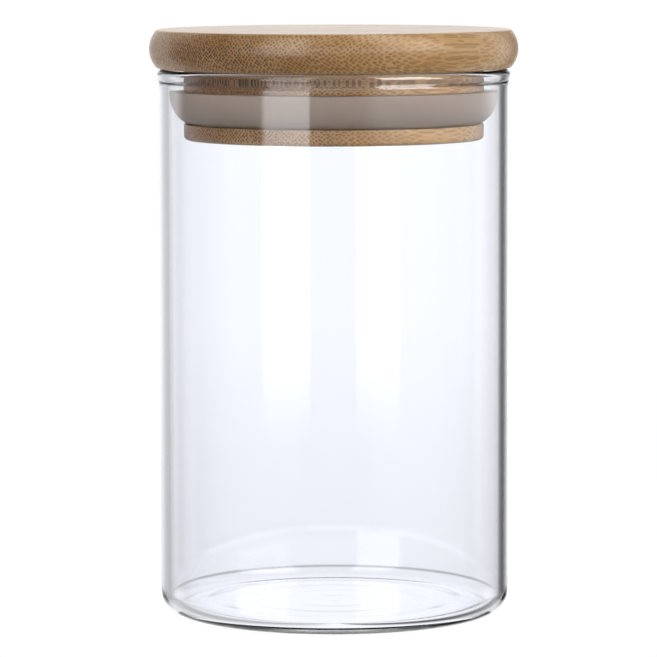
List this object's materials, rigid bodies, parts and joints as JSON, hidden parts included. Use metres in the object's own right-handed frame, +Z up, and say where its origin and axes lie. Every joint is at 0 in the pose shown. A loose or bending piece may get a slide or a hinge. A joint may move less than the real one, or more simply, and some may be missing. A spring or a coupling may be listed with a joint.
{
  "type": "lidded glass canister",
  "caption": "Straight-walled clear glass storage jar with a flat bamboo lid that overhangs the rim and a silicone ring round its plug, which lifts and turns.",
  "frame": {"origin": "centre of the jar's flat base, on the surface it stands on", "axes": "+Z up along the jar's axis; the bamboo's fibres run along Y, and the strips of each layer lie side by side along X"},
  "size_m": [0.0896, 0.0896, 0.1422],
  "materials": {
    "glass": "clear, fire polished",
    "silicone": "translucent, satin",
    "bamboo": "turned, clear satin oil"
  },
  "bodies": {
    "jar": {"glass_jar": "glass"},
    "gasket": {"silicone_gasket": "silicone"},
    "lid": {"cap_strip_1": "bamboo", "cap_strip_2": "bamboo", "cap_strip_3": "bamboo", "cap_strip_4": "bamboo", "cap_strip_5": "bamboo", "neck_strip_1": "bamboo", "neck_strip_2": "bamboo", "neck_strip_3": "bamboo", "neck_strip_4": "bamboo", "flange_strip_1": "bamboo", "flange_strip_2": "bamboo", "flange_strip_3": "bamboo", "flange_strip_4": "bamboo", "flange_strip_5": "bamboo"}
  },
  "joints": [
    {"name": "lid_lift", "type": "slide", "parent": "jar", "child": "gasket", "axis": [0, 0, 1], "range_m": [0, 0.05]},
    {"name": "lid_turn", "type": "hinge", "parent": "gasket", "child": "lid", "pos_m": [0, 0, 0.1242], "axis": [0, 0, 1], "continuous": true}
  ]
}
